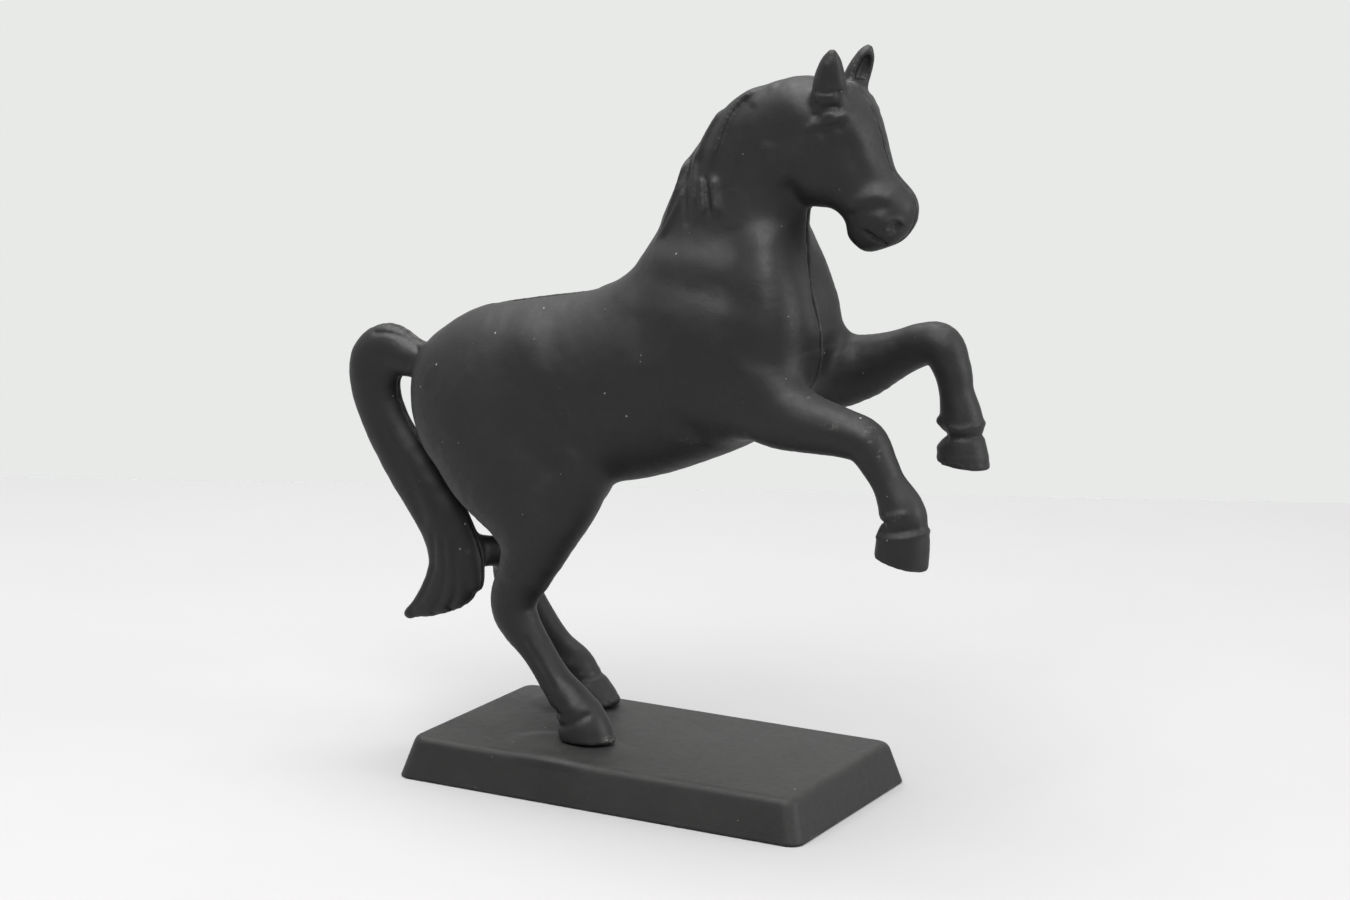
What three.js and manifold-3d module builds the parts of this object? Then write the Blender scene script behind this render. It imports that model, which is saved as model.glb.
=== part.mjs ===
// A rearing-horse coin bank in cast iron: two hollow halves joined on the middle plane by one
// long screw, standing with its hind hooves on a hollow base plate.
// Millimetres, +Z up, the horse faces +X. Every place below is measured from the middle of the
// base plate's underside; the last lines move the whole bank so that its box is centred.
import * as THREE from 'three';
import { LoftGeometry } from 'three/addons/geometries/LoftGeometry.js';
import { RoundedBoxGeometry } from 'three/addons/geometries/RoundedBoxGeometry.js';
import { mergeVertices } from 'three/addons/utils/BufferGeometryUtils.js';
import Module from 'manifold-3d';

const wasm = await Module();
wasm.setup();

// ---------------------------------------------------------------- driving dimensions

const GAP = 0.3;                 // air left between two pieces that touch
const BASE = { length: 111.6, width: 62.6, height: 10.6, inset: 3, corner: 3.6, edge: 1.2 };
const BASE_WALL = 3.4;           // walls and deck of the hollow base
const PAD_TOP = 11.5;            // flat tops of the two mounds that the hind hooves stand on
const SOLE = PAD_TOP + GAP;      // height of the hind hooves' soles
const NEAR_PAD = { x: -14, y: -17.5, rx: 17, ry: 11.5, rz: 2.9 };
const FAR_PAD = { x: -31, y: 17, rx: 14, ry: 10.5, rz: 2.9 };

const WALL = 3.1;                // wall of the hollow body
const SEAM = GAP / 2;            // each half stops this far from the middle plane

const SLOT = { x0: -47, x1: -15, width: 4.4, z0: 110, z1: 130 };

const SCREW = { x: -3, z: 98, radius: 2, tip: -7.6, headRadius: 4, headHeight: 2.6 };
const BORE = SCREW.radius + GAP;
const BOSS_RADIUS = 7;
const RECESS = { radius: 5.1, floor: 14.1 };      // where the screw's head lies in the left half
const WASHER = { radius: 4.7, thickness: 0.8 };
const NUT = { side: 7, thickness: 3.2, y: -5.2 };
const WASHER_UNDER = RECESS.floor + GAP;
const HEAD_UNDER = WASHER_UNDER + WASHER.thickness + GAP;

const LUG = { radius: 1.7, length: 3.2, boss: 3.7 };
const LUG_PLACES = [[-54, 98], [25, 146]];        // x, z of the two locating lugs

const STUD = { x: -11.5, y: -13, radius: 1.6, top: 18.5, headRadius: 3, headHeight: 1.4 };

// ---------------------------------------------------------------- the horse's limbs
// Each row is a station on a limb's middle line: x, y, z, then half its depth in the side view
// and half its width across the horse. Limbs on the left side mirror the right where they match.

const TRUNK = [
  [-51.5, 0, 92.2, 19.6, 16.2], [-42, 0, 94.4, 22.7, 18.2], [-27, 0, 97, 23.2, 18.3],
  [-10, 0, 99.6, 24.2, 18.6], [5, 0, 104.9, 24.1, 19], [18, 0, 110.4, 23.1, 18.6],
  [28, 0, 113.5, 17, 16],
];
const NECK = [
  [17, 0, 119, 24.5, 17], [19.4, 0, 128, 22.2, 15], [21.6, 0, 141, 18.9, 11.6],
  [24.9, 0, 152.5, 15.9, 9.6], [29.8, 0, 162, 12.4, 9], [37, 0, 167.7, 9.4, 8.6],
];
const HEAD = [
  [41.5, 0, 168, 8.6, 9], [46.7, 0, 163, 11.2, 9.8], [50.5, 0, 157, 9.9, 8.9],
  [55, 0, 151.3, 8.4, 7.7], [59.8, 0, 146.1, 8.5, 7.6],
];
const JOWL = [[40.5, 0, 158.2, 7.8, 9.6], [44.8, 0, 154.2, 7.4, 8.6]];
const CHIN = [[54.5, 0, 142.1, 4, 4.8], [56, 0, 140.6, 3.4, 4.4]];
const FOREHEAD = [
  [50.2, 0, 173.4, 2.8, 6.5], [52.8, 0, 169.4, 2.7, 6.8], [55.4, 0, 164.6, 2.2, 6],
  [57.2, 0, 160.2, 1.9, 5],
];
const BROW = [[48.8, -6.7, 169.6, 4.3, 3.4], [51.3, -6.2, 165, 3.6, 2.9]];
const CHEST = [
  [33.2, -6.5, 137.8, 5.5, 6], [34, -8, 128, 7.8, 8], [35, -8.8, 119, 9.2, 8.8],
  [34, -8.8, 109, 9.5, 8.5],
];
const RIGHT_FORELEG = [
  [27, -9, 105, 12, 8], [38, -12, 99.7, 9.2, 7], [48, -13.5, 97.6, 7.1, 6],
  [57, -14, 96.3, 5.8, 5.2], [62.5, -14, 94.8, 5.3, 5], [66, -14, 90.3, 4.4, 4.5],
  [69, -14, 85.5, 4, 4.2], [71.8, -14, 81, 5.1, 4.6], [72.7, -14, 78.3, 5.6, 4.9],
  [73.3, -14, 75.8, 5.4, 4.7], [72.9, -14, 72.5, 6.4, 5.3], [72.4, -14, 66, 6.6, 5.7],
];
const LEFT_FORELEG = [
  [27, 9, 107, 12, 8], [38, 12, 105.2, 9.8, 7], [48, 13.5, 106.8, 8, 6],
  [57.5, 14, 110.9, 5.7, 5.2], [64.3, 14, 113.9, 5.2, 5], [69, 14, 113.8, 5.4, 5],
  [72, 14, 108.8, 4.6, 4.5], [73.3, 14, 103.5, 4.2, 4.2], [74.5, 14, 98.4, 5, 4.6],
  [75, 14, 95.6, 5.2, 4.8], [75.6, 14, 92.6, 4.9, 4.6], [75.5, 14, 86, 6.8, 5.6],
];
const RIGHT_HIND_LEG = [
  [-43.5, -8, 90, 19.5, 11], [-36, -10, 80, 18.5, 10.5], [-29.5, -11, 70, 14, 9.3],
  [-27, -12, 61, 9.7, 7.6], [-29.2, -13, 53, 6.8, 5.8], [-32.5, -13, 45, 6, 5.2],
  [-31.1, -13, 39.5, 5.3, 5], [-25.5, -13, 32.5, 4, 4.3], [-20.5, -13, 26, 4, 4.3],
  [-16, -13, 21, 5.1, 4.8], [-13.8, -13, 18, 5.6, 5], [-12, -13, 14.8, 6.8, 5.8],
  [-11, -13, 10.5, 7.6, 6.3],
];
const RIGHT_STIFLE = [
  [-12.4, -8.5, 83, 5.8, 8], [-16.2, -10, 74.5, 7.2, 8], [-19.4, -11, 67, 6.5, 7.5],
  [-24.8, -12, 59.5, 5.8, 6.8], [-28.6, -13, 52, 5.2, 5.6],
];
const LEFT_HIND_LEG = [
  [-46, 8, 90, 19.5, 11], [-44, 10, 80, 18.5, 10.5], [-43.5, 12, 70, 14, 9.3],
  [-44.5, 14, 61, 9.7, 7.6], [-47, 15.5, 53, 6.9, 5.8], [-50, 16.5, 45, 6.1, 5.2],
  [-48.6, 17, 39.5, 5.3, 5], [-42.8, 17, 32.5, 4, 4.3], [-37.2, 17, 26, 3.9, 4.3],
  [-32, 17, 21.3, 4.8, 4.8], [-30, 17, 18.5, 4.8, 5], [-28, 17, 15.2, 5.6, 5.8],
  [-26, 17, 10.8, 7.2, 6.3],
];
const LEFT_STIFLE = [
  [-18, 8.5, 84, 6, 8], [-24, 10, 74.5, 7, 8], [-29.5, 11.5, 67, 6.5, 7.5],
  [-37, 13.5, 59.5, 6, 6.8], [-44.5, 15, 52, 5.5, 5.6],
];
const TAIL = [
  [-60, 0, 98, 4, 4.5], [-69, 0, 100.3, 4.9, 4.8], [-76.9, 0, 101.7, 7.1, 4.9],
  [-81.4, 0, 97.8, 7.6, 4.8], [-81.6, 0, 90.5, 6.8, 4.7], [-78, 0, 82, 6.5, 4.6],
  [-72.2, 0, 73.5, 7.1, 4.5], [-65.6, 0, 65, 7.3, 4.4], [-60.4, 0, 57.5, 7.5, 4.2],
  [-58, 0, 50, 7.8, 4], [-59.2, 0, 43, 7.4, 3.6], [-64.2, 0, 37.7, 4.4, 3],
  [-70.3, 0, 34, 1.7, 1.8],
];
const TAIL_STRUT = [[-56, 1, 51.5, 5, 3], [-51, 7, 51, 4, 3], [-49, 13, 49.5, 5.2, 4.5]];
const RIGHT_EAR = [
  [48, -6.4, 172.5, 4.6, 3.4], [48.7, -7.4, 177, 4.2, 3], [49.4, -8.3, 180.8, 3, 2.2],
  [49.9, -8.9, 183.3, 1.4, 1],
];
const LEFT_EAR = [
  [48.2, 5.6, 172.8, 3, 3.4], [49.4, 6.1, 177.2, 3.2, 3], [51, 6.5, 181.2, 2.4, 2.2],
  [51.7, 6.7, 183.5, 1.3, 1],
];

// Each limb: its stations, the lengths of its two round ends, and its number of sides
const LIMBS = [
  [TRUNK, 16.8, 16, 22], [NECK, 12, 8, 18], [HEAD, 9, 7.4, 16], [JOWL, 6.5, 6, 12],
  [CHIN, 3.3, 3.2, 10], [FOREHEAD, 3, 3, 10], [BROW, 3, 3, 10], [mirrored(BROW), 3, 3, 10],
  [CHEST, 4, 8, 12], [mirrored(CHEST), 4, 8, 12],
  [RIGHT_FORELEG, 8, 3, 14], [LEFT_FORELEG, 8, 3, 14],
  [RIGHT_HIND_LEG, 14, 3, 14], [RIGHT_STIFLE, 6, 4, 12],
  [LEFT_HIND_LEG, 14, 3, 14], [LEFT_STIFLE, 6, 4, 12],
  [TAIL, 4, 2, 12], [TAIL_STRUT, 3, 3, 10], [RIGHT_EAR, 3, 1.1, 10], [LEFT_EAR, 3, 1.1, 10],
];

// Planes that cut the soles flat: a point on the sole and the direction it faces
const SOLES = [
  { point: [-11.5, -13, SOLE], faces: [0, 0, -1], reach: 12 },
  { point: [-27, 17, SOLE], faces: [0, 0, -1], reach: 12 },
  { point: [72, -14, 67.3], faces: [-0.2, 0, -0.98], reach: 11 },
  { point: [76, 14, 85.9], faces: [-0.14, 0, -0.99], reach: 11 },
];

// ---------------------------------------------------------------- solids

function mirrored(stations) {
  return stations.map(([x, y, z, depth, width]) => [x, -y, z, depth, width]);
}

function solid(geometry) {
  const bare = new THREE.BufferGeometry().copy(geometry);
  bare.deleteAttribute('normal');
  bare.deleteAttribute('uv');
  const merged = mergeVertices(bare, 1e-4);
  return new wasm.Manifold(new wasm.Mesh({
    numProp: 3,
    vertProperties: new Float32Array(merged.attributes.position.array),
    triVerts: new Uint32Array(merged.index.array),
  }));
}

function geometryOf(manifold) {
  const mesh = manifold.getMesh();
  const geometry = new THREE.BufferGeometry();
  geometry.setAttribute('position', new THREE.BufferAttribute(mesh.vertProperties, 3));
  geometry.setIndex(new THREE.BufferAttribute(mesh.triVerts, 1));
  geometry.computeVertexNormals();
  return geometry;
}

// An elliptical ring across a limb: at a point, square to its direction, one axis kept level
function ring(point, along, depth, width, sides) {
  const across = new THREE.Vector3(0, 1, 0);
  across.addScaledVector(along, -across.dot(along)).normalize();
  const upward = new THREE.Vector3().crossVectors(along, across);
  return Array.from({ length: sides }, (_, i) => {
    const angle = (2 * Math.PI * i) / sides;
    return point.clone()
      .addScaledVector(across, width * Math.cos(angle))
      .addScaledVector(upward, depth * Math.sin(angle));
  });
}

// A limb: rings along a smooth line through the stations, with a dome over each end
function limb(stations, startDome, endDome, sides, perSpan = 2) {
  const line = new THREE.CatmullRomCurve3(
    stations.map(([x, y, z]) => new THREE.Vector3(x, y, z)), false, 'catmullrom');
  const sizes = new THREE.CatmullRomCurve3(
    stations.map(([, , , depth, width]) => new THREE.Vector3(depth, width, 0)), false, 'catmullrom');
  const steps = (stations.length - 1) * perSpan;
  const domeAngles = [78, 54, 28].map(THREE.MathUtils.degToRad);
  const rings = [];
  const addRing = (at, back, scale) => {
    const along = line.getTangent(at);
    const point = line.getPoint(at).addScaledVector(along, back);
    const size = sizes.getPoint(at);
    rings.push(ring(point, along, size.x * scale, size.y * scale, sides));
  };
  for (const angle of domeAngles) {
    addRing(0, -startDome * Math.sin(angle), Math.cos(angle));
  }
  for (let i = 0; i <= steps; i += 1) {
    addRing(i / steps, 0, 1);
  }
  for (const angle of [...domeAngles].reverse()) {
    addRing(1, endDome * Math.sin(angle), Math.cos(angle));
  }
  return solid(new LoftGeometry(rings, { capStart: true, capEnd: true }));
}

function block(x0, x1, y0, y1, z0, z1) {
  const box = new THREE.BoxGeometry(x1 - x0, y1 - y0, z1 - z0);
  box.translate((x0 + x1) / 2, (y0 + y1) / 2, (z0 + z1) / 2);
  return solid(box);
}

// A round bar along Y, from y0 to y1
function barY(radius, x, z, y0, y1, sides = 24) {
  const bar = new THREE.CylinderGeometry(radius, radius, y1 - y0, sides);
  bar.translate(x, (y0 + y1) / 2, z);
  return solid(bar);
}

// A round bar along Z, from z0 to z1
function barZ(radius, x, y, z0, z1, sides = 24) {
  const bar = new THREE.CylinderGeometry(radius, radius, z1 - z0, sides);
  bar.rotateX(Math.PI / 2);
  bar.translate(x, y, (z0 + z1) / 2);
  return solid(bar);
}

// The space below a sole: a block whose top face is the sole's plane
function belowSole({ point, faces, reach }) {
  const cut = new THREE.BoxGeometry(2 * reach, 2 * reach, reach);
  cut.translate(0, 0, reach / 2);
  const turn = new THREE.Quaternion().setFromUnitVectors(
    new THREE.Vector3(0, 0, 1), new THREE.Vector3(...faces).normalize());
  cut.applyQuaternion(turn);
  cut.translate(...point);
  return solid(cut);
}

// ---------------------------------------------------------------- the two halves

function horse() {
  let whole = null;
  for (const [stations, startDome, endDome, sides] of LIMBS) {
    const piece = limb(stations, startDome, endDome, sides);
    whole = whole ? whole.add(piece) : piece;
  }
  for (const sole of SOLES) {
    whole = whole.subtract(belowSole(sole));
  }
  return whole;
}

function thinned(stations, by) {
  return stations.map(([x, y, z, depth, width]) => [x, y, z, depth - by, width - by]);
}

// The space for coins: the trunk and the neck again, a wall's thickness smaller
function coinSpace() {
  const trunk = limb(thinned(TRUNK, WALL), 12.5, 11, 18);
  const neck = limb(thinned(NECK.slice(0, 4), WALL), 8, 5, 14);
  return trunk.add(neck);
}

function halves() {
  const outside = horse();
  const hollow = outside.subtract(coinSpace());
  const right = block(-120, 120, -60, -SEAM, 0, 200);
  const left = block(-120, 120, SEAM, 60, 0, 200);

  const bosses = LUG_PLACES.reduce(
    (all, [x, z]) => all.add(barY(LUG.boss, x, z, -20, 20, 16)),
    barY(BOSS_RADIUS, SCREW.x, SCREW.z, -20, 20)).intersect(outside);
  const slot = block(SLOT.x0, SLOT.x1, -SLOT.width / 2, SLOT.width / 2, SLOT.z0, SLOT.z1);
  const body = hollow.add(bosses).subtract(slot);

  const nutSpace = block(
    SCREW.x - NUT.side / 2 - GAP, SCREW.x + NUT.side / 2 + GAP,
    NUT.y - NUT.thickness / 2 - GAP, NUT.y + NUT.thickness / 2 + GAP,
    SCREW.z - NUT.side / 2 - GAP, SCREW.z + BOSS_RADIUS + 1);
  let rightHalf = body.intersect(right)
    .subtract(nutSpace)
    .subtract(barY(BORE, SCREW.x, SCREW.z, SCREW.tip - 1, 1))
    .subtract(barZ(STUD.radius + GAP, STUD.x, STUD.y, 5, STUD.top + GAP, 16));
  let leftHalf = body.intersect(left)
    .subtract(barY(BORE, SCREW.x, SCREW.z, -1, 30))
    .subtract(barY(RECESS.radius, SCREW.x, SCREW.z, RECESS.floor, 30));
  for (const [x, z] of LUG_PLACES) {
    rightHalf = rightHalf.add(barY(LUG.radius, x, z, -3, LUG.length, 16));
    leftHalf = leftHalf.subtract(barY(LUG.radius + GAP, x, z, -1, LUG.length + GAP, 16));
  }
  return { rightHalf, leftHalf };
}

// ---------------------------------------------------------------- the base plate

// A rectangular outline with round corners, centred on the origin
function roundedOutline(length, width, corner) {
  const outline = new THREE.Shape();
  const x = length / 2;
  const y = width / 2;
  outline.moveTo(-x + corner, -y);
  outline.lineTo(x - corner, -y);
  outline.absarc(x - corner, -y + corner, corner, -Math.PI / 2, 0);
  outline.absarc(x - corner, y - corner, corner, 0, Math.PI / 2);
  outline.absarc(-x + corner, y - corner, corner, Math.PI / 2, Math.PI);
  outline.absarc(-x + corner, -y + corner, corner, Math.PI, 1.5 * Math.PI);
  return outline;
}

// A slab whose sides lean in towards its top: the loft of one outline at several heights
function taperedSlab(levels) {
  const rings = levels.map(([z, length, width, corner]) => roundedOutline(length, width, corner)
    .getPoints(5)
    .slice(0, -1)
    .map((p) => new THREE.Vector3(p.x, p.y, z)));
  return solid(new LoftGeometry(rings, { capStart: true, capEnd: true }));
}

function mound({ x, y, rx, ry, rz }) {
  const dome = new THREE.SphereGeometry(1, 24, 12);
  dome.rotateX(Math.PI / 2);
  dome.scale(rx, ry, rz);
  dome.translate(x, y, BASE.height - 1);
  return solid(dome);
}

function basePlate() {
  const { length, width, height, inset, corner, edge } = BASE;
  const topLength = length - 2 * inset;
  const topWidth = width - 2 * inset;
  const lean = inset / height;
  const slab = taperedSlab([
    [0, length, width, corner],
    [height - edge, length - 2 * lean * (height - edge), width - 2 * lean * (height - edge), corner],
    [height - edge * 0.3, topLength - edge * 0.6, topWidth - edge * 0.6, corner],
    [height, topLength - edge * 2, topWidth - edge * 2, corner],
  ]);
  const deckUnder = height - BASE_WALL;
  const recess = taperedSlab([
    [-1, length - 2 * BASE_WALL, width - 2 * BASE_WALL, corner],
    [deckUnder, topLength - 2 * BASE_WALL, topWidth - 2 * BASE_WALL, corner],
  ]);
  const pads = mound(NEAR_PAD).add(mound(FAR_PAD))
    .intersect(block(-60, 60, -width / 2, width / 2, deckUnder + 1, PAD_TOP));
  return slab.add(pads)
    .subtract(recess)
    .subtract(barZ(STUD.radius + GAP, STUD.x, STUD.y, -1, 20, 16));
}

// ---------------------------------------------------------------- fasteners

// The long screw, pointing along -Z from its head: pan head with a driver slot, then the shank
function screwBlank() {
  const { radius, headRadius, headHeight } = SCREW;
  const shank = HEAD_UNDER - SCREW.tip;
  const profile = [
    [0, -shank], [radius * 0.6, -shank], [radius, -shank + 1], [radius, 0], [headRadius, 0],
    [headRadius, headHeight * 0.55], [headRadius * 0.75, headHeight * 0.9], [0, headHeight],
  ].map(([r, z]) => new THREE.Vector2(r, z));
  const turned = new THREE.LatheGeometry(profile, 24);
  turned.rotateX(Math.PI / 2);
  const driverSlot = block(-headRadius - 1, headRadius + 1, -0.5, 0.5, headHeight - 1.2, headHeight + 1);
  return solid(turned).subtract(driverSlot);
}

function washer() {
  const profile = [
    [BORE, 0], [WASHER.radius, 0], [WASHER.radius, WASHER.thickness], [BORE, WASHER.thickness],
    [BORE, 0],
  ].map(([r, z]) => new THREE.Vector2(r, z));
  const ringGeometry = new THREE.LatheGeometry(profile, 28);
  ringGeometry.rotateX(Math.PI / 2);
  return solid(ringGeometry);
}

function squareNut() {
  const { side, thickness } = NUT;
  const body = new RoundedBoxGeometry(side, side, thickness, 1, 0.35);
  return solid(body).subtract(barZ(BORE, 0, 0, -thickness, thickness));
}

// The stud that holds the right hind hoof: threaded into the hoof, peened under the deck
function hoofStud() {
  const under = BASE.height - BASE_WALL - GAP;
  const shank = barZ(STUD.radius, 0, 0, under - 0.2, STUD.top, 16);
  const head = new THREE.CylinderGeometry(STUD.headRadius, STUD.headRadius * 0.7, STUD.headHeight, 20);
  head.rotateX(Math.PI / 2);
  head.translate(0, 0, under - STUD.headHeight / 2);
  return shank.add(solid(head));
}

// ---------------------------------------------------------------- assembly

const BLACK_IRON = { color: 0x1b1c1c, roughness: 0.62, metalness: 0.25 };
const STEEL = { color: 0x8a8c8e, roughness: 0.4, metalness: 0.9 };

const bank = new THREE.Group();

function place(name, manifold, finish, position = [0, 0, 0], rotation = [0, 0, 0]) {
  const mesh = new THREE.Mesh(geometryOf(manifold), new THREE.MeshStandardMaterial(finish));
  mesh.name = name;
  mesh.position.set(...position);
  mesh.rotation.set(...rotation);
  bank.add(mesh);
}

const { rightHalf, leftHalf } = halves();
const FACE_LEFT = [-Math.PI / 2, 0, 0];           // turns a piece's +Z to the bank's +Y

place('right_half', rightHalf, BLACK_IRON);
place('left_half', leftHalf, BLACK_IRON);
place('base_plate', basePlate(), BLACK_IRON);
place('body_screw', screwBlank(), STEEL, [SCREW.x, HEAD_UNDER, SCREW.z], FACE_LEFT);
place('body_screw_washer', washer(), STEEL, [SCREW.x, WASHER_UNDER, SCREW.z], FACE_LEFT);
place('body_screw_nut', squareNut(), STEEL, [SCREW.x, NUT.y, SCREW.z], FACE_LEFT);
place('hoof_stud', hoofStud(), STEEL, [STUD.x, STUD.y, 0]);

const extent = new THREE.Box3().setFromObject(bank);
bank.position.x = -(extent.min.x + extent.max.x) / 2;

export default bank;
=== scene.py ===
"""A rearing-horse coin bank in matte black cast iron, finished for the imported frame.

The horse is sculpted as a signed-distance field: tubes along the limbs, blended where they meet,
with the face, mane, hooves and seam worked into the surface. Each half, and each small part, is
then meshed from its field. Lengths are in millimetres, measured from the middle of the base
plate's underside, until a mesh is made in the frame's metres.
"""
import math

import bpy
import numpy as np
import openvdb
from mathutils import Matrix, Vector


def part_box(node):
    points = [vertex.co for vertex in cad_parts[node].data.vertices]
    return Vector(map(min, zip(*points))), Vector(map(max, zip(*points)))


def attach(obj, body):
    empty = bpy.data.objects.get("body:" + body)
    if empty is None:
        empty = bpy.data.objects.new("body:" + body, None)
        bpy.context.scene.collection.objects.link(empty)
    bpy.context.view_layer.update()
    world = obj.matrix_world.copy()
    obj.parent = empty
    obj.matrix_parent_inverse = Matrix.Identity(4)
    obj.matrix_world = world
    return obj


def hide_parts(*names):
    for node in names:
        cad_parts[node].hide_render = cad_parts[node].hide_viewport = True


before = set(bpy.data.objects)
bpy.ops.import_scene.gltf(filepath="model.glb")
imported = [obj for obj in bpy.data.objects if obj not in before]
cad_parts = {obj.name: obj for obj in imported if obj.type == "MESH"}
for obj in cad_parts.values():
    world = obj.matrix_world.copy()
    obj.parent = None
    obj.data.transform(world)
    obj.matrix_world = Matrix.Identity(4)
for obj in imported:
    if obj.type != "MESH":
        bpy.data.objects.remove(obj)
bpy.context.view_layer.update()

# ---------------------------------------------------------------- driving dimensions

MM = 0.001
base_low, base_high = (Vector(corner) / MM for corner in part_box("base_plate"))
SHIFT = (base_low.x + base_high.x) / 2  # where the base's middle is in the frame, along X

BASE_LENGTH = base_high.x - base_low.x
BASE_WIDTH = base_high.y - base_low.y
BASE_HEIGHT, BASE_WALL = 10.6, 3.4
BASE_INSET = 3  # how far the sides lean in
BASE_CORNER, BASE_EDGE = 3.6, 1.8
PAD_TOP = base_high.z  # flat tops of the mounds under the hooves
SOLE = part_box("right_half")[0].z / MM

WALL = 3.1
SEAM = 0.13  # each half stops this far from the middle plane
SLOT_FROM, SLOT_TO, SLOT_WIDTH = -47, -15, 4.4
SCREW_X, SCREW_Z, SCREW_RADIUS = -3, 98, 2
SCREW_HEAD_HEIGHT, SCREW_SLOT_DEPTH, SCREW_PITCH = 2.6, 1.2, 0.8
BORE, BOSS_RADIUS = 2.3, 7  # radii of the screw's hole and of the boss round it
RECESS_RADIUS, RECESS_FLOOR = 5.1, 14.1
NUT_SIDE, NUT_THICKNESS, NUT_Y = 7, 3.2, -5.2
LUG_RADIUS, LUG_LENGTH, LUG_BOSS = 1.7, 3.2, 3.7
LUG_PLACES = [(-54, 98), (25, 146)]
STUD_X, STUD_Y, STUD_RADIUS, STUD_TOP = -11.5, -13, 1.6, 18.5
STUD_HEAD_HEIGHT = 1.4

EAR_FOOT = 176.6  # the ears are hollow above this height
EAR_HOLLOW = (50.9, 4.4, 178)  # middle of the near ear's hollow, its y without a sign
EAR_HOLLOW_RADIUS, EAR_HOLLOW_HEIGHT = 1.7, 4.2
# The dome under each hind hoof: x, y and its three radii
MOUNDS = [(-14, -17.5, 17, 11.5, 2.9), (-31, 17, 14, 10.5, 2.9)]

FINE = 0.45  # voxel of the two halves
EDGE = 0.3  # rounding of the small cast edges
CLEARANCE = 0.3  # room round the nut, the stud and the lugs
HORSE_BOX = ((-93, -26, 9), (86, 28, 187))
BASE_BOX = ((-59, -32, -2), (59, 32, 14))
BLUR_BOX = ((-74, -25, 62), (44, 25, 182))  # trunk and neck, where the limbs' segments show as ribs
BLUR, BLUR_FADE = 1.35, 10

# Rubbed spots: the middle, the reach each way, and how far the paint has gone
SCUFFS = [
    ((64.9, -17, 98.3), (1.2, 5, 0.6), 0.5), ((65.8, -17, 96.2), (0.7, 5, 0.6), 0.6),
    ((67.6, -17, 93.2), (0.6, 5, 1.5), 0.55), ((56.5, -17, 98.6), (3, 5, 1), 0.3),
    ((72.5, -18, 79), (2, 5, 1), 0.35), ((-4.8, -13, 13), (1.1, 5, 1), 0.9),
    ((18, -14, 90), (5, 7, 1.2), 0.35), ((63.5, -8, 143), (1.4, 5, 1.2), 0.45),
    ((76, 17, 93), (3, 5, 2), 0.25), ((-70, 0, 105), (5, 9, 1.2), 0.25),
]

# ---------------------------------------------------------------- the horse's limbs
# Stations close to the CAD model's: x, y, z, half depth in the side view, half width across the horse

TRUNK = [
    (-51.5, 0, 92.2, 19.6, 16.2), (-42, 0, 94.4, 22.7, 18.2), (-27, 0, 97, 23.2, 18.3),
    (-10, 0, 99.6, 24.2, 18.6), (5, 0, 104.9, 24.1, 19), (18, 0, 110.4, 23.1, 18.6),
    (28, 0, 113.5, 17, 16),
]
NECK = [
    (17, 0, 119, 24.5, 17), (19.4, 0, 128, 22, 14.8), (21.6, 0, 141, 18.8, 11.2),
    (24.9, 0, 152.5, 15.9, 9.6), (29.8, 0, 162, 12.4, 9), (37, 0, 167.7, 9.4, 8.6),
]
HEAD = [
    (41.5, 0, 168, 8.6, 9), (46.7, 0, 163, 11.2, 9.8), (50.3, 0, 156.8, 10.1, 8.9),
    (55, 0, 151.3, 8.4, 7.7), (59.8, 0, 146.1, 8.5, 7.6),
]
JOWL = [(40.5, 0, 158.2, 7.8, 9.6), (44.8, 0, 154.2, 7.4, 8.6)]
CHIN = [(54.9, 0, 141.9, 3.8, 4.8), (56.3, 0, 140.5, 3.4, 4.4)]
FOREHEAD = [
    (50.2, 0, 173.4, 2.8, 6.5), (52.8, 0, 169.4, 2.7, 6.8), (55.3, 0, 164.6, 1.8, 6),
    (57, 0, 160.2, 1.4, 5),
]
BROW = [(48.8, -6.7, 169.6, 4.3, 3.4), (51.3, -6.2, 165, 3.6, 2.9)]
CHEST = [
    (32.8, -6.2, 137.6, 5, 6), (34, -8, 128, 7.8, 8), (35, -8.8, 119, 9.2, 8.8),
    (34, -8.8, 109, 9.5, 8.5),
]
RIGHT_FORELEG = [
    (27, -9, 105, 12, 8), (38, -12, 99.7, 9.2, 7), (48, -13.5, 97.6, 7.1, 6),
    (57, -14, 96.3, 5.8, 5.2), (62.5, -14, 94.8, 5.3, 5), (66, -14, 90.3, 4.4, 4.5),
    (69, -14, 85.5, 4, 4.2), (71.8, -14, 81, 5.1, 4.6), (72.7, -14, 78.3, 5.6, 4.9),
    (73.3, -14, 75.8, 5.4, 4.7), (72.9, -14, 72.5, 6.4, 5.3), (72.4, -14, 66, 6.6, 5.7),
]
LEFT_FORELEG = [
    (27, 9, 107, 12, 8), (38, 12, 105.2, 9.8, 7), (48, 13.5, 106.8, 8, 6),
    (57.5, 14, 110.9, 5.7, 5.2), (64.3, 14, 113.9, 5.2, 5), (69, 14, 113.8, 5.4, 5),
    (72, 14, 108.8, 4.6, 4.5), (73.3, 14, 103.5, 4.2, 4.2), (74.5, 14, 98.4, 5, 4.6),
    (75, 14, 95.6, 5.2, 4.8), (75.6, 14, 92.6, 4.9, 4.6), (75.5, 14, 86, 6.8, 5.6),
]
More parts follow.
